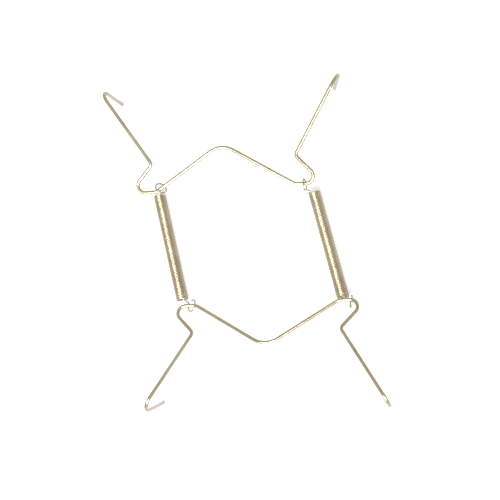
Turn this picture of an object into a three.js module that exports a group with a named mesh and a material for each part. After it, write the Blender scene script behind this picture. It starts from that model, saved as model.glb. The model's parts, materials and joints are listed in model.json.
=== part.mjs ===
// A spring wire plate hanger, lying on a table on its hook tips and springs.
//
// Two identical bent wires, each a shallow V with a shoulder, an arm and a hook at
// both ends, are linked by two close wound extension springs. Millimetres, +Z up,
// +Y towards the wire that hangs on the nail, origin on the table under the middle.

import * as THREE from 'three';

// ---- Frame wire: round rod, bent in one plane apart from its hooks ----
const WIRE_DIAMETER = 1.6;
const LEG_SLOPE = 31.9;        // each leg falls away from the V at this angle
const RISER_SLOPE = 47.2;      // the riser leans back in over the leg
const ARM_SLOPE = 58.2;        // the arm leans out to its hook
const LEG_LENGTH = 29.8;       // straight runs between the bends
const SHELF_LENGTH = 3.5;
const RISER_LENGTH = 8.0;
const ARM_LENGTH = 32.1;
const V_BEND_RADIUS = 10;      // all radii are to the middle of the wire
const LEG_BEND_RADIUS = 5;
const SHOULDER_RADIUS = 3.3;
const ELBOW_RADIUS = 2;

// ---- Hook at each end of a frame wire, square to the wire's plane ----
const HOOK_RADIUS = 5.1;
const HOOK_TURN = 125;
const HOOK_RETURN = 11;

// ---- Extension springs ----
const COIL_DIAMETER = 5.45;    // outside
const SPRING_WIRE_DIAMETER = 0.65;
const COIL_LENGTH = 49.3;
const LOOP_RADIUS = 2.6;       // to the middle of the spring wire
const LOOP_SWEEP = 300;        // degrees of ring before the cut end
const LOOP_START = 28;         // degrees past the point nearest the coil

// ---- Rest pose ----
const SPRING_LEAN = 18.9;      // how far the springs lean from square to the wires

// ---- Clearances ----
const PIECE_GAP = 0.3;         // between the pieces of one spring
const RIDE_CLEARANCE = 0.35;   // between a coil's top and the shoulder above it

// How each loop joins its coil. reach is from the coil's end to the frame wire and
// sideways from the coil's axis to the pivot, both seen from above. slide, out and
// rise place the ring's middle about the pivot. turned and tipped aim its plane.
const LOOPS = {
  left_upper: { reach: 0.75, sideways: 0, slide: 2.2, out: 1.6, rise: 0, turned: 38, tipped: 50 },
  left_lower: { reach: 4.85, sideways: 6.1, slide: -2.1, out: 0, rise: -0.2, turned: 160, tipped: 45 },
  right_upper: { reach: 3.65, sideways: -1.4, slide: -0.9, out: -0.5, rise: -0.6, turned: 4, tipped: 86 },
  right_lower: { sideways: 3, slide: 0.4, out: 0.9, rise: -0.5, turned: 172, tipped: 74 },
};

// ---- Mesh fineness ----
const WIRE_SIDES = 12;
const BEND_STEP = 15;          // degrees of bend for each section
const SPRING_WIRE_SIDES = 8;
const COIL_SIDES = 24;
const RING_STEPS = 26;
const NECK_STEPS = 6;

const radians = THREE.MathUtils.degToRad;
const sine = (degrees) => Math.sin(radians(degrees));
const cosine = (degrees) => Math.cos(radians(degrees));

const wireRadius = WIRE_DIAMETER / 2;
const coilRadius = COIL_DIAMETER / 2;
const coilMeanRadius = coilRadius - SPRING_WIRE_DIAMETER / 2;

// ---------------------------------------------------------------------------
// Materials
// ---------------------------------------------------------------------------

const wireBrass = () => new THREE.MeshStandardMaterial({ color: 0xc9b98c, roughness: 0.28, metalness: 1 });
const springBrass = () => new THREE.MeshStandardMaterial({ color: 0xb9ab86, roughness: 0.32, metalness: 1 });

// ---------------------------------------------------------------------------
// Sweeping a round wire along sections that are close only where it bends
// ---------------------------------------------------------------------------

class WireLine extends THREE.Curve {
  constructor(sections) {
    super();
    this.sections = sections;
  }

  sectionAt(share) {
    return this.sections[Math.round(share * (this.sections.length - 1))];
  }

  getPoint(share) {
    return this.sectionAt(share).point.clone();
  }

  getPointAt(share) {
    return this.getPoint(share);
  }

  getTangentAt(share) {
    return this.sectionAt(share).direction.clone();
  }
}

function roundOutline(radius, sides) {
  const outline = new THREE.Shape();
  for (let side = 0; side < sides; side += 1) {
    const angle = (2 * Math.PI * side) / sides;
    const x = radius * Math.cos(angle);
    const y = radius * Math.sin(angle);
    if (side === 0) outline.moveTo(x, y);
    else outline.lineTo(x, y);
  }
  outline.closePath();
  return outline;
}

function sweepWire(sections, radius, sides) {
  return new THREE.ExtrudeGeometry(roundOutline(radius, sides), {
    extrudePath: new WireLine(sections),
    steps: sections.length - 1,
  });
}

// ---------------------------------------------------------------------------
// Frame wire
// ---------------------------------------------------------------------------

// Bends a wire from a start as a bending jig does, and keeps a section at each step.
class Bender {
  constructor(point, direction) {
    this.point = point.clone();
    this.direction = direction.clone();
    this.sections = [];
    this.mark();
  }

  mark() {
    this.sections.push({ point: this.point.clone(), direction: this.direction.clone() });
  }

  run(length) {
    this.point.addScaledVector(this.direction, length);
    this.mark();
    return this;
  }

  // Positive degrees turn the wire about the axis by the right-hand rule.
  bend(degrees, radius, axis) {
    const sign = Math.sign(degrees);
    const centre = axis.clone().cross(this.direction).multiplyScalar(sign * radius).add(this.point);
    const steps = Math.ceil(Math.abs(degrees) / BEND_STEP);
    const turn = radians(degrees) / steps;
    for (let step = 0; step < steps; step += 1) {
      this.point.sub(centre).applyAxisAngle(axis, turn).add(centre);
      this.direction.applyAxisAngle(axis, turn);
      this.mark();
    }
    return this;
  }
}

const planeNormal = new THREE.Vector3(0, 0, 1);

// Half of the wire from the middle of the V to the hook's cut end, in the wire's plane.
function bendHalfWire() {
  const bender = new Bender(new THREE.Vector3(0, 0, 0), new THREE.Vector3(1, 0, 0));
  bender.bend(-LEG_SLOPE, V_BEND_RADIUS, planeNormal);
  bender.run(LEG_LENGTH);
  bender.bend(LEG_SLOPE, LEG_BEND_RADIUS, planeNormal);
  const shelfStart = bender.point.clone();
  bender.run(SHELF_LENGTH);
  const shelfEnd = bender.point.clone();
  bender.bend(180 - RISER_SLOPE, SHOULDER_RADIUS, planeNormal);
  bender.run(RISER_LENGTH);
  bender.bend(ARM_SLOPE + RISER_SLOPE - 180, ELBOW_RADIUS, planeNormal);
  bender.run(ARM_LENGTH);
  const hookAxis = bender.direction.clone().cross(planeNormal).negate();
  bender.bend(HOOK_TURN, HOOK_RADIUS, hookAxis);
  bender.run(HOOK_RETURN);
  return { sections: bender.sections, shelfStart, shelfEnd };
}

const halfWire = bendHalfWire();
const shelfDrop = -halfWire.shelfStart.y;
const legBendMiddle = halfWire.shelfStart.x - LEG_BEND_RADIUS * Math.tan(radians(LEG_SLOPE / 2));

// The whole wire, with y = 0 along its shelves, which is the line that it folds about.
function frameWireSections() {
  const lift = new THREE.Vector3(0, shelfDrop, 0);
  const mirror = new THREE.Vector3(-1, 1, 1);
  const right = halfWire.sections.map(({ point, direction }) => ({
    point: point.clone().add(lift),
    direction,
  }));
  const left = right.slice(1).reverse().map(({ point, direction }) => ({
    point: point.clone().multiply(mirror),
    direction: direction.clone().multiply(mirror).negate(),
  }));
  return [...left, ...right];
}

const frameSections = frameWireSections();
const hookTip = frameSections[frameSections.length - 1];

// ---------------------------------------------------------------------------
// Rest pose: shoulders ride over the coils, and each wire tips down onto its hooks
// ---------------------------------------------------------------------------

const shelfHeight = COIL_DIAMETER + RIDE_CLEARANCE + wireRadius;

function tipToTable() {
  const { point, direction } = hookTip;
  const distance = Math.hypot(point.y, point.z);
  const depthAngle = Math.atan2(-point.z, point.y);
  let tilt = 0;
  for (let pass = 0; pass < 30; pass += 1) {
    const slope = direction.y * Math.sin(tilt) + direction.z * Math.cos(tilt);
    const edge = wireRadius * Math.sqrt(1 - slope * slope);
    tilt = depthAngle + Math.asin((edge - shelfHeight) / distance);
  }
  return tilt;
}

const frameTilt = tipToTable();

// Where the two loops sit on a wire: one on the leg bend, one where the shoulder starts.
const innerPivot = legBendMiddle;
const outerPivot = halfWire.shelfEnd.x;

// The left spring sets the distance between the wires, and the right one matches it.
function springSpan(upper, lower) {
  const drift = lower.sideways - upper.sideways;
  return upper.reach + lower.reach + Math.sqrt(COIL_LENGTH ** 2 - drift ** 2);
}

const pivotDistance = springSpan(LOOPS.left_upper, LOOPS.left_lower);
LOOPS.right_lower.reach = 0;
LOOPS.right_lower.reach = pivotDistance - springSpan(LOOPS.right_upper, LOOPS.right_lower);

const wireShift = (pivotDistance * sine(SPRING_LEAN)) / 2;
const wireSpread = (pivotDistance * cosine(SPRING_LEAN)) / 2;

const PIVOTS = {
  left_upper: new THREE.Vector3(-wireShift - innerPivot, wireSpread, shelfHeight),
  right_upper: new THREE.Vector3(-wireShift + outerPivot, wireSpread, shelfHeight),
  left_lower: new THREE.Vector3(wireShift - innerPivot, -wireSpread, shelfHeight),
  right_lower: new THREE.Vector3(wireShift + outerPivot, -wireSpread, shelfHeight),
};

function buildFrameWire(name, turn, shift, spread) {
  const wire = new THREE.Mesh(sweepWire(frameSections, wireRadius, WIRE_SIDES), wireBrass());
  wire.name = name;
  wire.rotation.x = frameTilt;
  const place = new THREE.Group();
  place.rotation.z = turn;
  place.position.set(shift, spread, shelfHeight);
  place.add(wire);
  return place;
}

// ---------------------------------------------------------------------------
// Springs: each coil is two tubes that meet at mid length, with a loop at each end
// ---------------------------------------------------------------------------

const down = new THREE.Vector3(sine(SPRING_LEAN), -cosine(SPRING_LEAN), 0);
const aside = new THREE.Vector3(cosine(SPRING_LEAN), sine(SPRING_LEAN), 0);

// The end of a coil, from its loop's pivot. inward is 1 at an upper end and -1 at a lower.
function coilEnd(end, inward) {
  const loop = LOOPS[end];
  const point = PIVOTS[end].clone();
  point.addScaledVector(down, inward * loop.reach);
  point.addScaledVector(aside, -loop.sideways);
  point.z = coilRadius;
  return point;
}

function buildCoilHalf(name, from, to) {
  const axis = to.clone().sub(from).normalize();
  const length = from.distanceTo(to) - PIECE_GAP / 2;
  const bore = coilRadius - SPRING_WIRE_DIAMETER;
  const wall = [
    new THREE.Vector2(bore, 0),
    new THREE.Vector2(coilRadius, 0),
    new THREE.Vector2(coilRadius, length),
    new THREE.Vector2(bore, length),
    new THREE.Vector2(bore, 0),
  ];
  const half = new THREE.Mesh(new THREE.LatheGeometry(wall, COIL_SIDES), springBrass());
  half.name = name;
  half.position.copy(from);
  half.quaternion.setFromUnitVectors(new THREE.Vector3(0, 1, 0), axis);
  return half;
}

function loopSections(end, coilTip, outward) {
  const loop = LOOPS[end];
  const outboard = end.endsWith('upper') ? 1 : -1;
  const middle = PIVOTS[end].clone();
  middle.add(new THREE.Vector3(loop.slide, outboard * loop.out, loop.rise));
  const normal = new THREE.Vector3(
    sine(loop.tipped) * cosine(loop.turned),
    sine(loop.tipped) * sine(loop.turned),
    cosine(loop.tipped),
  );
  const rimward = middle.clone().sub(coilTip).projectOnPlane(outward).normalize();
  const neckStart = coilTip.clone();
  neckStart.addScaledVector(outward, PIECE_GAP);
  neckStart.addScaledVector(rimward, coilMeanRadius);
  const near = neckStart.clone().sub(middle).projectOnPlane(normal).normalize();
  const across = normal.clone().cross(near);
  const ringAt = (degrees) => ({
    point: middle.clone()
      .addScaledVector(near, LOOP_RADIUS * cosine(degrees))
      .addScaledVector(across, LOOP_RADIUS * sine(degrees)),
    direction: near.clone().multiplyScalar(-sine(degrees)).addScaledVector(across, cosine(degrees)),
  });

  const ringStart = ringAt(LOOP_START);
  const handle = neckStart.distanceTo(ringStart.point) / 3;
  const neck = new THREE.CubicBezierCurve3(
    neckStart,
    neckStart.clone().addScaledVector(outward, handle),
    ringStart.point.clone().addScaledVector(ringStart.direction, -handle),
    ringStart.point,
  );
  const sections = [];
  for (let step = 0; step < NECK_STEPS; step += 1) {
    const share = step / NECK_STEPS;
    sections.push({ point: neck.getPoint(share), direction: neck.getTangent(share) });
  }
  for (let step = 0; step <= RING_STEPS; step += 1) {
    sections.push(ringAt(LOOP_START + (LOOP_SWEEP * step) / RING_STEPS));
  }
  return sections;
}

function buildLoop(end, coilTip, outward) {
  const sections = loopSections(end, coilTip, outward);
  const geometry = sweepWire(sections, SPRING_WIRE_DIAMETER / 2, SPRING_WIRE_SIDES);
  const loop = new THREE.Mesh(geometry, springBrass());
  loop.name = `${end}_loop`;
  return loop;
}

function buildSpring(side) {
  const top = coilEnd(`${side}_upper`, 1);
  const bottom = coilEnd(`${side}_lower`, -1);
  const middle = top.clone().add(bottom).multiplyScalar(0.5);
  const axis = bottom.clone().sub(top).normalize();
  const spring = new THREE.Group();
  spring.add(buildCoilHalf(`${side}_coil_upper`, top, middle));
  spring.add(buildCoilHalf(`${side}_coil_lower`, bottom, middle));
  spring.add(buildLoop(`${side}_upper`, top, axis.clone().negate()));
  spring.add(buildLoop(`${side}_lower`, bottom, axis));
  return spring;
}

// ---------------------------------------------------------------------------
// Assembly
// ---------------------------------------------------------------------------

const hanger = new THREE.Group();
hanger.add(buildFrameWire('upper_wire', 0, -wireShift, wireSpread));
hanger.add(buildFrameWire('lower_wire', Math.PI, wireShift, -wireSpread));
hanger.add(buildSpring('left'));
hanger.add(buildSpring('right'));

export default hanger;
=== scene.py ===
"""Looks for a spring wire plate hanger lying on a table.

Two bent brass wires are linked by two close wound extension springs. Each bent wire
is one piece. Each spring is three: its coil, and the loop at either end of it that is
hooked round a wire.
"""

import json
import math
from collections import namedtuple

import bpy
import numpy as np
from mathutils import Matrix, Quaternion, Vector


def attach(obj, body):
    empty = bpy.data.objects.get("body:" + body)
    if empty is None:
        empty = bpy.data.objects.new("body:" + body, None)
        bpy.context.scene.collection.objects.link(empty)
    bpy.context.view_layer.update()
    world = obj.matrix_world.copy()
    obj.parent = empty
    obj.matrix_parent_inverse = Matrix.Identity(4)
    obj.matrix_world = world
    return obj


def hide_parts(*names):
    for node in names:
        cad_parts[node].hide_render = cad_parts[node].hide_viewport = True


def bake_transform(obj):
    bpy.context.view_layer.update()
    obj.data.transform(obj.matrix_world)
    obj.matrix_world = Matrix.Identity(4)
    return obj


MM = 0.001

# ---- Frame wire: straight runs, and bends to the middle of the wire ----
WIRE_DIAMETER = 1.6 * MM
LEG_SLOPE = math.radians(31.9)
RISER_SLOPE = math.radians(47.2)
ARM_SLOPE = math.radians(58.2)
LEG_LENGTH = 29.8 * MM
SHELF_LENGTH = 3.5 * MM
RISER_LENGTH = 8.0 * MM
ARM_LENGTH = 32.1 * MM
V_BEND_RADIUS = 10 * MM
LEG_BEND_RADIUS = 5 * MM
SHOULDER_RADIUS = 3.3 * MM
ELBOW_RADIUS = 2 * MM
HOOK_RADIUS = 5.1 * MM
HOOK_TURN = math.radians(125)
HOOK_RETURN = 11 * MM
WIRE_SIDES = 32
BEND_STEP = math.radians(5)
CUT_END_ROUNDING = 0.14 * MM
TILT_PASSES = 30

# ---- Springs ----
COIL_DIAMETER = 5.45 * MM
COIL_LENGTH = 49.3 * MM
SPRING_WIRE_DIAMETER = 0.65 * MM
TURN_PITCH = 0.654 * MM    # a hair over the wire, as close wound turns sit
STEPS_PER_TURN = 28
SPRING_WIRE_SIDES = 10
LOOP_RADIUS = 2.6 * MM
LOOP_SWEEP = math.radians(300)
LOOP_START = math.radians(28)
LOOP_ARCS = 6
LOOP_STEPS = 10
LOOP_END_ROUNDING = 0.05 * MM
LEAVING_LEAN = 0.7         # how steeply a loop's wire climbs off its coil's last turn
LEAVING_EASE = 0.42        # how far that climb is drawn out towards the ring

# How each loop joins its coil, in millimetres and degrees. reach is from the coil's
# end to the frame wire and sideways from the coil's axis to the pivot, both seen from
# above. slide, out and rise place the ring's middle about the pivot. turned and tipped
# aim its plane. The right lower loop's reach follows from the other three.
LOOPS = {
    "left_upper": dict(reach=0.75, sideways=0, slide=2.2, out=1.6, rise=0, turned=38, tipped=50),
    "left_lower": dict(reach=4.85, sideways=6.1, slide=-2.1, out=0, rise=-0.2, turned=160, tipped=45),
    "right_upper": dict(reach=3.65, sideways=-1.4, slide=-0.9, out=-0.5, rise=-0.6, turned=4, tipped=86),
    "right_lower": dict(sideways=3, slide=0.4, out=0.9, rise=-0.5, turned=172, tipped=74),
}

# ---- Joining up meshes ----
WELD_DISTANCE = 0.002 * MM
CUT_EDGE_ANGLE = math.radians(60)
SMOOTH_ANGLE = math.radians(50)

# ---- Finishes: colours, and roughness from the die lines' lows to their highs ----
FRESH_BRASS = (0.78, 0.69, 0.47)
DULL_BRASS = (0.62, 0.53, 0.34)
SPECK_BROWN = (0.38, 0.31, 0.19)
# pale grey painted on the hook returns: a painted reflection of the white table below them
HOOK_PAINTED_REFLECTION = (0.84, 0.79, 0.74)
SPRING_FRESH = (0.77, 0.68, 0.50)
SPRING_DULL = (0.64, 0.55, 0.39)
PAPER_SHADE = (0.54, 0.54, 0.54)
PAPER_LIGHT = (0.58, 0.58, 0.58)
LINE_RANGE = (0.3, 0.7)
WIRE_SHINE = (0.20, 0.30)
SPRING_SHINE = (0.26, 0.38)
HOOK_MATTING = 0.26        # roughness added on the hook returns on top of the wire's
# span over which the painted reflection on the hook returns and their extra roughness fade in
HOOK_REFLECTION_SPAN = (97 * MM, 103 * MM)    # from the middle of the V, along the wire

# ---- Camera and light ----
CAMERA_PLACE = Vector((131.2, -63.8, 559.0)) * MM
CAMERA_TARGET = Vector((0.4, -1.6, 0)) * MM
CAMERA_UP = Vector((0.0466, 0.9939, 0.0998))
LENS = 93.6
SENSOR_WIDTH = 36
SOFTBOX_PLACE = Vector((-0.02, -0.99, 1.2))
SOFTBOX_WIDTH = 1.0
SOFTBOX_DEPTH = 0.75
SOFTBOX_POWER = 40.0
ROOM_GREY = (0.50, 0.50, 0.50, 1)
TABLE_WIDTH = 6
TABLE_GLOW = 0.60          # a lit table: it washes out all but the closest shadow

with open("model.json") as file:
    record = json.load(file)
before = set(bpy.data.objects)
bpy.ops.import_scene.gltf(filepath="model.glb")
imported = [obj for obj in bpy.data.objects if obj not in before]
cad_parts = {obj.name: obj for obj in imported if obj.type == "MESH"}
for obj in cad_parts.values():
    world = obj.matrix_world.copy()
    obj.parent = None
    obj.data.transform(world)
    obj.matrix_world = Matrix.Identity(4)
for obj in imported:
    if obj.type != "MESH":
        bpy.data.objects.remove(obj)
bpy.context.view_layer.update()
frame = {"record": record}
joints = {joint["name"]: joint for joint in frame["record"]["behaviour"]["joints"]}
pivots = {
    "left_upper": Vector(joints["upper_fold"]["pos_m"]),
    "left_lower": Vector(joints["lower_fold"]["pos_m"]),
    "right_upper": Vector(joints["right_upper_fold"]["pos_m"]),
    "right_lower": Vector(joints["right_lower_swing"]["pos_m"]),
}


# ---------------------------------------------------------------------------
# Working by hand in the edit mode
# ---------------------------------------------------------------------------

def clear_selection():
    if bpy.context.object and bpy.context.object.mode != "OBJECT":
        bpy.ops.object.mode_set(mode="OBJECT")
    bpy.ops.object.select_all(action="DESELECT")


def keep_as(piece, name):
    piece.name = name
    piece.data.name = name
    return piece


def settle_place(piece):
    """Puts the object at the origin, with its place in its mesh."""
    clear_selection()
    piece.select_set(True)
    bpy.context.view_layer.objects.active = piece
    bpy.ops.object.transform_apply(location=True, rotation=True, scale=True)


def close_and_smooth(piece, rounding):
    """Joins doubles, closes the cut ends, faces the skin outwards and rounds the cuts."""
    clear_selection()
    piece.select_set(True)
    bpy.context.view_layer.objects.active = piece
    bpy.ops.object.mode_set(mode="EDIT")
    bpy.ops.mesh.select_all(action="SELECT")
    bpy.ops.mesh.remove_doubles(threshold=WELD_DISTANCE)
    bpy.ops.mesh.fill_holes(sides=0)
    bpy.ops.mesh.select_all(action="SELECT")
    bpy.ops.mesh.normals_make_consistent(inside=False)
    bpy.ops.object.mode_set(mode="OBJECT")
    if rounding:
        bpy.ops.object.modifier_add(type="BEVEL")
        bevel = piece.modifiers[-1]
        bevel.limit_method = "ANGLE"
        bevel.angle_limit = CUT_EDGE_ANGLE
        bevel.width = rounding
        bevel.segments = 3
        bpy.ops.object.modifier_apply(modifier=bevel.name)
    bpy.ops.object.shade_smooth_by_angle(angle=SMOOTH_ANGLE)


# ---------------------------------------------------------------------------
# A wire's own directions: across it and along it, for its drawn finish
# ---------------------------------------------------------------------------

def carried_sides(points, first_side):
    """A side direction for each run of a line, carried along it without twisting."""
    runs = np.diff(points, axis=0)
    runs /= np.linalg.norm(runs, axis=1)[:, None]
    sides = []
    side = np.array(first_side, float)
    for run in runs:
        side = side - run * (side @ run)
        side /= np.linalg.norm(side)
        sides.append(side)
    return runs, np.array(sides)


def store_wire_place(piece, places):
    place = piece.data.attributes.new("wire_place", "FLOAT_VECTOR", "POINT")
    place.data.foreach_set("vector", places.astype(np.float32).ravel())


def mark_along_line(piece, line, first_side, mirrored=False):
    """Stores each vertex's place across the wire and how far along the line it is."""
    points = np.array(line, float)
    runs, sides = carried_sides(points, first_side)
    lengths = np.linalg.norm(np.diff(points, axis=0), axis=1)
    starts = np.concatenate([[0], np.cumsum(lengths)[:-1]])
    vertices = np.array([vertex.co for vertex in piece.data.vertices], float)
    hand = np.ones(len(vertices))
    if mirrored:
        hand = np.where(vertices[:, 0] < 0, -1.0, 1.0)
        vertices[:, 0] *= hand
    offsets = vertices[:, None, :] - points[None, :-1, :]
    travels = np.clip((offsets * runs[None]).sum(2), 0, lengths[None])
    gaps = offsets - travels[:, :, None] * runs[None]
    nearest = np.argmin((gaps ** 2).sum(2), axis=1)
    rows = np.arange(len(vertices))
    gap = gaps[rows, nearest]
    side = sides[nearest]
    upright = np.cross(runs[nearest], side)
    places = np.stack([
        (gap * side).sum(1),
        (gap * upright).sum(1),
        hand * (starts[nearest] + travels[rows, nearest]),
    ], axis=1)
    store_wire_place(piece, places)


def mark_along_coil(piece, mean_radius, pitch):
    """Stores the same for a coil that still stands upright about its own axis."""
    vertices = np.array([vertex.co for vertex in piece.data.vertices], float)
    angle = np.arctan2(vertices[:, 1], vertices[:, 0])
    turns = np.round(vertices[:, 2] / pitch - angle / (2 * math.pi))
    angle = angle + 2 * math.pi * turns
    places = np.stack([
        np.hypot(vertices[:, 0], vertices[:, 1]) - mean_radius,
        vertices[:, 2] - pitch * angle / (2 * math.pi),
        mean_radius * angle,
    ], axis=1)
    store_wire_place(piece, places)


# ---------------------------------------------------------------------------
# Frame wires
# ---------------------------------------------------------------------------

class BendingJig:
    """Feeds and bends round wire, and remembers where its middle line has been."""

    def __init__(self, diameter):
        clear_selection()
        bpy.ops.mesh.primitive_circle_add(
            vertices=WIRE_SIDES, radius=diameter / 2, rotation=(0, math.pi / 2, 0))
        bpy.ops.object.transform_apply(rotation=True)
        self.wire = bpy.context.object
        bpy.ops.object.mode_set(mode="EDIT")
        bpy.ops.mesh.select_all(action="SELECT")
        self.point = Vector((0, 0, 0))
        self.direction = Vector((1, 0, 0))
        self.line = [self.point.copy()]

    def feed(self, length):
        step = self.direction * length
        bpy.ops.mesh.extrude_region_move(TRANSFORM_OT_translate={"value": step})
        self.point += step
        self.line.append(self.point.copy())

    def bend(self, angle, radius, axis):
        """Turns the wire about the axis, by the right-hand rule where angle is positive."""
        centre = self.point + axis.cross(self.direction) * math.copysign(radius, angle)
        steps = math.ceil(abs(angle) / BEND_STEP)
        bpy.ops.mesh.spin(steps=steps, angle=-angle, center=centre, axis=axis)
        turn = Quaternion(axis, angle / steps)
        for _ in range(steps):
            self.point = turn @ (self.point - centre) + centre
            self.direction = turn @ self.direction
            self.line.append(self.point.copy())

    def done(self):
        bpy.ops.object.mode_set(mode="OBJECT")
        return self.wire


def bend_half_wire():
    """Half a frame wire, flat, from the middle of its V to the cut end of its hook."""
    jig = BendingJig(WIRE_DIAMETER)
    flat = Vector((0, 0, 1))
    jig.bend(-LEG_SLOPE, V_BEND_RADIUS, flat)
    jig.feed(LEG_LENGTH)
    jig.bend(LEG_SLOPE, LEG_BEND_RADIUS, flat)
    jig.shelf_start = jig.point.copy()
    jig.feed(SHELF_LENGTH)
    jig.bend(math.pi - RISER_SLOPE, SHOULDER_RADIUS, flat)
    jig.feed(RISER_LENGTH)
    jig.bend(ARM_SLOPE + RISER_SLOPE - math.pi, ELBOW_RADIUS, flat)
    jig.feed(ARM_LENGTH)
    jig.bend(HOOK_TURN, HOOK_RADIUS, -jig.direction.cross(flat))
    jig.feed(HOOK_RETURN)
    return jig


def tilt_to_table(jig, shelf_height):
    """How far a wire tips about its shelves for its hooks' cut ends to reach the table."""
    depth = -jig.point.z
    span = jig.point.y - jig.shelf_start.y
    distance = math.hypot(span, depth)
    tilt = 0
    for _ in range(TILT_PASSES):
        slope = jig.direction.y * math.sin(tilt) + jig.direction.z * math.cos(tilt)
        edge = WIRE_DIAMETER / 2 * math.sqrt(1 - slope * slope)
        tilt = math.atan2(depth, span) + math.asin((edge - shelf_height) / distance)
    return tilt


def build_frame_wire(name, pivot, turn):
    jig = bend_half_wire()
    wire = keep_as(jig.done(), name)
    bpy.ops.object.modifier_add(type="MIRROR")
    mirror = wire.modifiers[-1]
    mirror.merge_threshold = WELD_DISTANCE
    bpy.ops.object.modifier_apply(modifier=mirror.name)
    close_and_smooth(wire, CUT_END_ROUNDING)
    mark_along_line(wire, jig.line, (0, 0, 1), mirrored=True)
    leg_bend = jig.shelf_start.x - LEG_BEND_RADIUS * math.tan(LEG_SLOPE / 2)
    middle = pivot + Vector((leg_bend, 0, 0))
    facing = Matrix.Rotation(turn, 4, "Z")
    tilt = Matrix.Rotation(tilt_to_table(jig, pivot.z), 4, "X")
    lift = Matrix.Translation((0, -jig.shelf_start.y, 0))
    wire.matrix_world = Matrix.Translation(middle) @ facing @ tilt @ lift
    settle_place(wire)
    return wire


# ---------------------------------------------------------------------------
# Springs
# ---------------------------------------------------------------------------

coil_radius = COIL_DIAMETER / 2
wire_radius = SPRING_WIRE_DIAMETER / 2
coil_mean_radius = coil_radius - wire_radius

span_of_springs = pivots["left_lower"] - pivots["left_upper"]
down = Vector((span_of_springs.x, span_of_springs.y, 0)).normalized()
aside = Vector((-down.y, down.x, 0))

Ring = namedtuple("Ring", "middle facing rimward last_turn near")


def reach_left_over(upper, lower):
    """How far a lower loop has to reach, past the upper one and a coil of full length."""
    drift = lower["sideways"] - upper["sideways"]
    coil_span = math.sqrt((COIL_LENGTH / MM) ** 2 - drift ** 2)
    return span_of_springs.length / MM - upper["reach"] - coil_span


LOOPS["right_lower"]["reach"] = reach_left_over(LOOPS["right_upper"], LOOPS["right_lower"])


def coil_end(end):
    """The end of a coil's axis, from its loop's pivot."""
    loop = LOOPS[end]
    inward = down if end.endswith("upper") else -down
    point = pivots[end] + inward * loop["reach"] * MM - aside * loop["sideways"] * MM
    point.z = coil_radius
    return point


def ring_of(end, outward):
    """The ring's middle, the way it faces, and the coil's last turn seen from it."""
    loop = LOOPS[end]
    outboard = 1 if end.endswith("upper") else -1
    middle = pivots[end] + Vector((loop["slide"], outboard * loop["out"], loop["rise"])) * MM
    turned = math.radians(loop["turned"])
    tipped = math.radians(loop["tipped"])
    facing = Vector((
        math.sin(tipped) * math.cos(turned),
        math.sin(tipped) * math.sin(turned),
        math.cos(tipped),
    ))
    rimward = middle - coil_end(end)
    rimward = (rimward - outward * rimward.dot(outward)).normalized()
    last_turn = coil_end(end) - outward * wire_radius + rimward * coil_mean_radius
    near = last_turn - middle
    near = (near - facing * near.dot(facing)).normalized()
    return Ring(middle, facing, rimward, last_turn, near)


def build_coil(side, top, bottom, top_rim, bottom_rim):
    """Winds a wire up from one loop's turn to the other's."""
    axis = (bottom - top).normalized()
    length = (bottom - top).length - SPRING_WIRE_DIAMETER
    part_turn = math.atan2(axis.dot(top_rim.cross(bottom_rim)), top_rim.dot(bottom_rim)) % math.tau
    whole_turns = math.floor(length / TURN_PITCH - part_turn / math.tau)
    turns = whole_turns + part_turn / math.tau
    clear_selection()
    bpy.ops.mesh.primitive_circle_add(
        vertices=SPRING_WIRE_SIDES, radius=wire_radius,
        location=(coil_mean_radius, 0, 0), rotation=(math.pi / 2, 0, 0))
    bpy.ops.object.transform_apply(location=True, rotation=True)
    coil = keep_as(bpy.context.object, f"{side}_coil")
    bpy.ops.object.modifier_add(type="SCREW")
    screw = coil.modifiers[-1]
    screw.axis = "Z"
    screw.angle = turns * math.tau
    screw.screw_offset = length
    screw.steps = round(turns * STEPS_PER_TURN)
    screw.render_steps = screw.steps
    bpy.ops.object.modifier_apply(modifier=screw.name)
    close_and_smooth(coil, 0)
    mark_along_coil(coil, coil_mean_radius, length / turns)
    upright = axis.cross(top_rim)
    stand = Matrix((top_rim, upright, axis)).transposed().to_4x4()
    coil.matrix_world = Matrix.Translation(top + axis * wire_radius) @ stand
    settle_place(coil)
    return coil


def loop_line(end, outward):
    """The loop's own wire: off the last turn, over to the ring and round it.

    Each knot is a point between its two handles.
    """
    ring = ring_of(end, outward)
    across = ring.facing.cross(ring.near)
    arc = LOOP_SWEEP / LOOP_ARCS
    handle = 4 / 3 * math.tan(arc / 4) * LOOP_RADIUS
    knots = []
    for step in range(LOOP_ARCS + 1):
        angle = LOOP_START + arc * step
        rim = ring.near * math.cos(angle) + across * math.sin(angle)
        along = across * math.cos(angle) - ring.near * math.sin(angle)
        point = ring.middle + rim * LOOP_RADIUS
        before = point - along * handle
        if step == 0:
            ease = (point - ring.last_turn).length * LEAVING_EASE
            before = point - along * ease
        knots.append((before, point, point + along * handle))
    leaving = (outward.cross(ring.rimward) + outward * LEAVING_LEAN).normalized() * ease
    knots.insert(0, (ring.last_turn - leaving, ring.last_turn, ring.last_turn + leaving))
    return knots


def middle_line(knots):
    """Points along the middle of a wire that is bent through some knots."""
    line = []
    for (_, start, leave), (arrive, end, _) in zip(knots, knots[1:]):
        for step in range(LOOP_STEPS):
            t = step / LOOP_STEPS
            s = 1 - t
            early = start * s ** 3 + leave * 3 * s * s * t
            late = arrive * 3 * s * t * t + end * t ** 3
            line.append(early + late)
    line.append(knots[-1][1])
    return line


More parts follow.
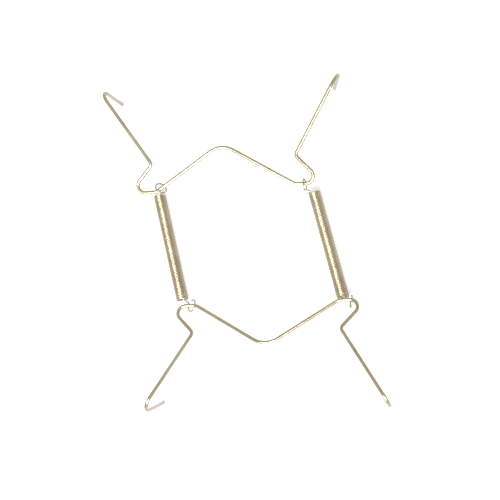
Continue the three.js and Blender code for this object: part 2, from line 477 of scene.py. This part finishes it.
def build_loop(end, outward):
    knots = loop_line(end, outward)
    clear_selection()
    bpy.ops.curve.primitive_bezier_curve_add(location=(0, 0, 0))
    loop = keep_as(bpy.context.object, f"{end}_hook_loop")
    curve = loop.data
    curve.bevel_depth = wire_radius
    curve.bevel_resolution = 4
    curve.resolution_u = LOOP_STEPS
    curve.use_fill_caps = True
    spline = curve.splines[0]
    spline.bezier_points.add(len(knots) - len(spline.bezier_points))
    for bend, (before, point, after) in zip(spline.bezier_points, knots):
        bend.handle_left_type = "FREE"
        bend.handle_right_type = "FREE"
        bend.co = point
        bend.handle_left = before
        bend.handle_right = after
    bpy.ops.object.convert(target="MESH")
    loop = keep_as(bpy.context.object, f"{end}_hook_loop")
    close_and_smooth(loop, LOOP_END_ROUNDING)
    steep_side = (0.3, 0.2, 0.93)
    mark_along_line(loop, middle_line(knots), steep_side)
    return loop


# ---------------------------------------------------------------------------
# Finishes
# ---------------------------------------------------------------------------

def add_node(tree, kind, x, y, **values):
    node = tree.nodes.new(kind)
    node.location = (x, y)
    for name, value in values.items():
        if hasattr(node, name):
            setattr(node, name, value)
        else:
            node.inputs[name.replace("_", " ")].default_value = value
    return node


def drawn_wire_group():
    """Plated drawn wire: die lines along it, cloudy tarnish and small worn specks."""
    group = bpy.data.node_groups.new("drawn_wire_finish", "ShaderNodeTree")
    face = group.interface
    face.new_socket("Wire Place", in_out="INPUT", socket_type="NodeSocketVector")
    face.new_socket("Object Place", in_out="INPUT", socket_type="NodeSocketVector")
    face.new_socket("Lines Across", in_out="INPUT", socket_type="NodeSocketFloat")
    face.new_socket("Cloud Size", in_out="INPUT", socket_type="NodeSocketFloat")
    face.new_socket("Die Lines", in_out="OUTPUT", socket_type="NodeSocketFloat")
    face.new_socket("Tarnish", in_out="OUTPUT", socket_type="NodeSocketFloat")
    face.new_socket("Specks", in_out="OUTPUT", socket_type="NodeSocketFloat")
    entry = add_node(group, "NodeGroupInput", -900, 0)
    leave = add_node(group, "NodeGroupOutput", 500, 0)

    stretch = add_node(group, "ShaderNodeMapping", -650, 250, vector_type="POINT")
    stretch.inputs["Scale"].default_value = (1000, 1000, 28)
    lines = add_node(group, "ShaderNodeTexNoise", -400, 250, Detail=3.0, Roughness=0.6)
    group.links.new(entry.outputs["Wire Place"], stretch.inputs["Vector"])
    group.links.new(stretch.outputs["Vector"], lines.inputs["Vector"])
    group.links.new(entry.outputs["Lines Across"], lines.inputs["Scale"])
    group.links.new(lines.outputs["Fac"], leave.inputs["Die Lines"])

    clouds = add_node(group, "ShaderNodeTexNoise", -400, 0, Detail=4.0, Roughness=0.55)
    settle = add_node(group, "ShaderNodeMapRange", -150, 0, From_Min=0.38, From_Max=0.72)
    group.links.new(entry.outputs["Object Place"], clouds.inputs["Vector"])
    group.links.new(entry.outputs["Cloud Size"], clouds.inputs["Scale"])
    group.links.new(clouds.outputs["Fac"], settle.inputs["Value"])
    group.links.new(settle.outputs["Result"], leave.inputs["Tarnish"])

    grains = add_node(group, "ShaderNodeTexNoise", -400, -250, Scale=1400.0, Detail=2.0)
    pick = add_node(group, "ShaderNodeMapRange", -150, -250, From_Min=0.62, From_Max=0.74)
    group.links.new(entry.outputs["Object Place"], grains.inputs["Vector"])
    group.links.new(grains.outputs["Fac"], pick.inputs["Value"])
    group.links.new(pick.outputs["Result"], leave.inputs["Specks"])
    return group


def start_brass(name, group, lines_across, cloud_size):
    """A metal whose drawn wire finish is in place, ready for its own colours."""
    material = bpy.data.materials.new(name)
    material.use_nodes = True
    tree = material.node_tree
    shader = tree.nodes["Principled BSDF"]
    shader.inputs["Metallic"].default_value = 1.0
    own = add_node(tree, "ShaderNodeAttribute", -1300, 200, attribute_name="wire_place")
    where = add_node(tree, "ShaderNodeTexCoord", -1300, -50)
    finish = add_node(tree, "ShaderNodeGroup", -1050, 100, node_tree=group)
    finish.inputs["Lines Across"].default_value = lines_across
    finish.inputs["Cloud Size"].default_value = cloud_size
    tree.links.new(own.outputs["Vector"], finish.inputs["Wire Place"])
    tree.links.new(where.outputs["Object"], finish.inputs["Object Place"])
    return material, tree, shader, own, finish


def blend_colours(tree, x, y, factor, low, high):
    mix = add_node(tree, "ShaderNodeMix", x, y, data_type="RGBA")
    tree.links.new(factor, mix.inputs["Factor"])
    for socket, colour in ((mix.inputs[6], low), (mix.inputs[7], high)):
        if isinstance(colour, tuple):
            socket.default_value = (*colour, 1)
        else:
            tree.links.new(colour, socket)
    return mix.outputs[2]


def map_value(tree, x, y, value, from_range, to_range):
    node = add_node(tree, "ShaderNodeMapRange", x, y)
    node.inputs["From Min"].default_value = from_range[0]
    node.inputs["From Max"].default_value = from_range[1]
    node.inputs["To Min"].default_value = to_range[0]
    node.inputs["To Max"].default_value = to_range[1]
    tree.links.new(value, node.inputs["Value"])
    return node.outputs["Result"]


def add_values(tree, x, y, first, second):
    node = add_node(tree, "ShaderNodeMath", x, y, operation="ADD")
    tree.links.new(first, node.inputs[0])
    tree.links.new(second, node.inputs[1])
    return node.outputs["Value"]


def bump_from_lines(tree, shader, finish, strength, height):
    bump = add_node(tree, "ShaderNodeBump", -250, -300)
    bump.inputs["Strength"].default_value = strength
    bump.inputs["Distance"].default_value = height
    tree.links.new(finish.outputs["Die Lines"], bump.inputs["Height"])
    tree.links.new(bump.outputs["Normal"], shader.inputs["Normal"])


def frame_brass(group):
    """Pale brass plate, duller in clouds, with a pale grey painted reflection of the white table on the
    hook returns, which are also rougher.
    """
    material, tree, shader, own, finish = start_brass(
        "pale_brass_wire", group, lines_across=6.0, cloud_size=90.0)
    plate = blend_colours(tree, -750, 300, finish.outputs["Tarnish"], FRESH_BRASS, DULL_BRASS)
    specked = blend_colours(tree, -500, 300, finish.outputs["Specks"], plate, SPECK_BROWN)
    split = add_node(tree, "ShaderNodeSeparateXYZ", -1050, -250)
    tree.links.new(own.outputs["Vector"], split.inputs["Vector"])
    from_middle = add_node(tree, "ShaderNodeMath", -950, -250, operation="ABSOLUTE")
    tree.links.new(split.outputs["Z"], from_middle.inputs[0])
    hook_end = map_value(tree, -850, -250, from_middle.outputs["Value"], HOOK_REFLECTION_SPAN, (0.0, 1.0))
    # paints the pale grey reflection of the white table over the hook returns
    colour = blend_colours(tree, -250, 300, hook_end, specked, HOOK_PAINTED_REFLECTION)
    tree.links.new(colour, shader.inputs["Base Color"])
    shine = map_value(tree, -750, 0, finish.outputs["Die Lines"], LINE_RANGE, WIRE_SHINE)
    hook_roughness = map_value(tree, -600, -250, hook_end, (0.0, 1.0), (0.0, HOOK_MATTING))
    tree.links.new(add_values(tree, -400, 0, shine, hook_roughness), shader.inputs["Roughness"])
    bump_from_lines(tree, shader, finish, strength=0.12, height=0.01 * MM)
    return material


def spring_brass(group):
    """Finer plated spring wire, a little browner between its clouds."""
    material, tree, shader, _, finish = start_brass(
        "pale_brass_spring", group, lines_across=12.0, cloud_size=140.0)
    plate = blend_colours(tree, -750, 300, finish.outputs["Tarnish"], SPRING_FRESH, SPRING_DULL)
    colour = blend_colours(tree, -500, 300, finish.outputs["Specks"], plate, SPECK_BROWN)
    tree.links.new(colour, shader.inputs["Base Color"])
    shine = map_value(tree, -750, 0, finish.outputs["Die Lines"], LINE_RANGE, SPRING_SHINE)
    tree.links.new(shine, shader.inputs["Roughness"])
    bump_from_lines(tree, shader, finish, strength=0.1, height=0.005 * MM)
    return material


def studio_paper():
    """Matt white paper over the table, which looks lit from below only to the camera."""
    material = bpy.data.materials.new("studio_paper")
    material.use_nodes = True
    tree = material.node_tree
    shader = tree.nodes["Principled BSDF"]
    shader.inputs["Roughness"].default_value = 0.85
    where = add_node(tree, "ShaderNodeTexCoord", -900, 0)
    fibre = add_node(tree, "ShaderNodeTexNoise", -700, 0, Scale=900.0, Detail=3.0)
    tree.links.new(where.outputs["Object"], fibre.inputs["Vector"])
    colour = blend_colours(tree, -400, 0, fibre.outputs["Fac"], PAPER_SHADE, PAPER_LIGHT)
    tree.links.new(colour, shader.inputs["Base Color"])
    sight = add_node(tree, "ShaderNodeLightPath", -400, -250)
    shader.inputs["Emission Color"].default_value = (1, 1, 1, 1)
    glow = map_value(tree, -200, -250, sight.outputs["Is Camera Ray"], (0.0, 1.0), (0.0, TABLE_GLOW))
    tree.links.new(glow, shader.inputs["Emission Strength"])
    return material


# ---------------------------------------------------------------------------
# Assembly
# ---------------------------------------------------------------------------

drawn_wire = drawn_wire_group()
wire_finish = frame_brass(drawn_wire)
spring_finish = spring_brass(drawn_wire)


def finish_piece(piece, material, slot, *nodes):
    piece.data.materials.clear()
    piece.data.materials.append(material)
    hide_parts(*nodes)


def add_frame_wire(body, pivot, turn):
    wire = build_frame_wire(f"{body}_bent", pivot, turn)
    finish_piece(wire, wire_finish, "frame_wire", body)
    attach(wire, body)


def add_loop(end, outward):
    loop = build_loop(end, outward)
    finish_piece(loop, spring_finish, "spring_wire", f"{end}_loop")
    ring = ring_of(end, outward)
    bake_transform(loop)


def add_spring(side):
    top = coil_end(f"{side}_upper")
    bottom = coil_end(f"{side}_lower")
    axis = (bottom - top).normalized()
    top_rim = ring_of(f"{side}_upper", -axis).rimward
    bottom_rim = ring_of(f"{side}_lower", axis).rimward
    coil = build_coil(side, top, bottom, top_rim, bottom_rim)
    finish_piece(coil, spring_finish, "spring_wire", f"{side}_coil_upper", f"{side}_coil_lower")
    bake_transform(coil)
    add_loop(f"{side}_upper", -axis)
    add_loop(f"{side}_lower", axis)


def lay_floor():
    clear_selection()
    bpy.ops.mesh.primitive_plane_add(size=TABLE_WIDTH)
    floor = keep_as(bpy.context.object, "table_top")
    floor.data.materials.append(studio_paper())


def light_studio():
    scene = bpy.context.scene
    scene.view_settings.view_transform = "Standard"
    scene.world = scene.world or bpy.data.worlds.new("studio")
    scene.world.use_nodes = True
    room = scene.world.node_tree.nodes["Background"]
    room.inputs["Color"].default_value = ROOM_GREY
    room.inputs["Strength"].default_value = 1.0
    clear_selection()
    bpy.ops.object.light_add(type="AREA", location=SOFTBOX_PLACE)
    softbox = bpy.context.object
    softbox.name = "softbox"
    softbox.data.shape = "RECTANGLE"
    softbox.data.size = SOFTBOX_WIDTH
    softbox.data.size_y = SOFTBOX_DEPTH
    softbox.data.energy = SOFTBOX_POWER


def place_camera():
    bpy.ops.object.camera_add(location=CAMERA_PLACE)
    camera = bpy.context.object
    camera.name = "view_from_above"
    camera.data.lens = LENS
    camera.data.sensor_width = SENSOR_WIDTH
    back = (CAMERA_PLACE - CAMERA_TARGET).normalized()
    right = CAMERA_UP.cross(back).normalized()
    above = back.cross(right)
    aim = Matrix((right, above, back)).transposed().to_4x4()
    camera.matrix_world = Matrix.Translation(CAMERA_PLACE) @ aim
    bpy.context.scene.camera = camera


add_frame_wire("upper_wire", pivots["left_upper"], 0)
add_frame_wire("lower_wire", pivots["left_lower"], math.pi)
add_spring("left")
add_spring("right")
lay_floor()
light_studio()
place_camera()
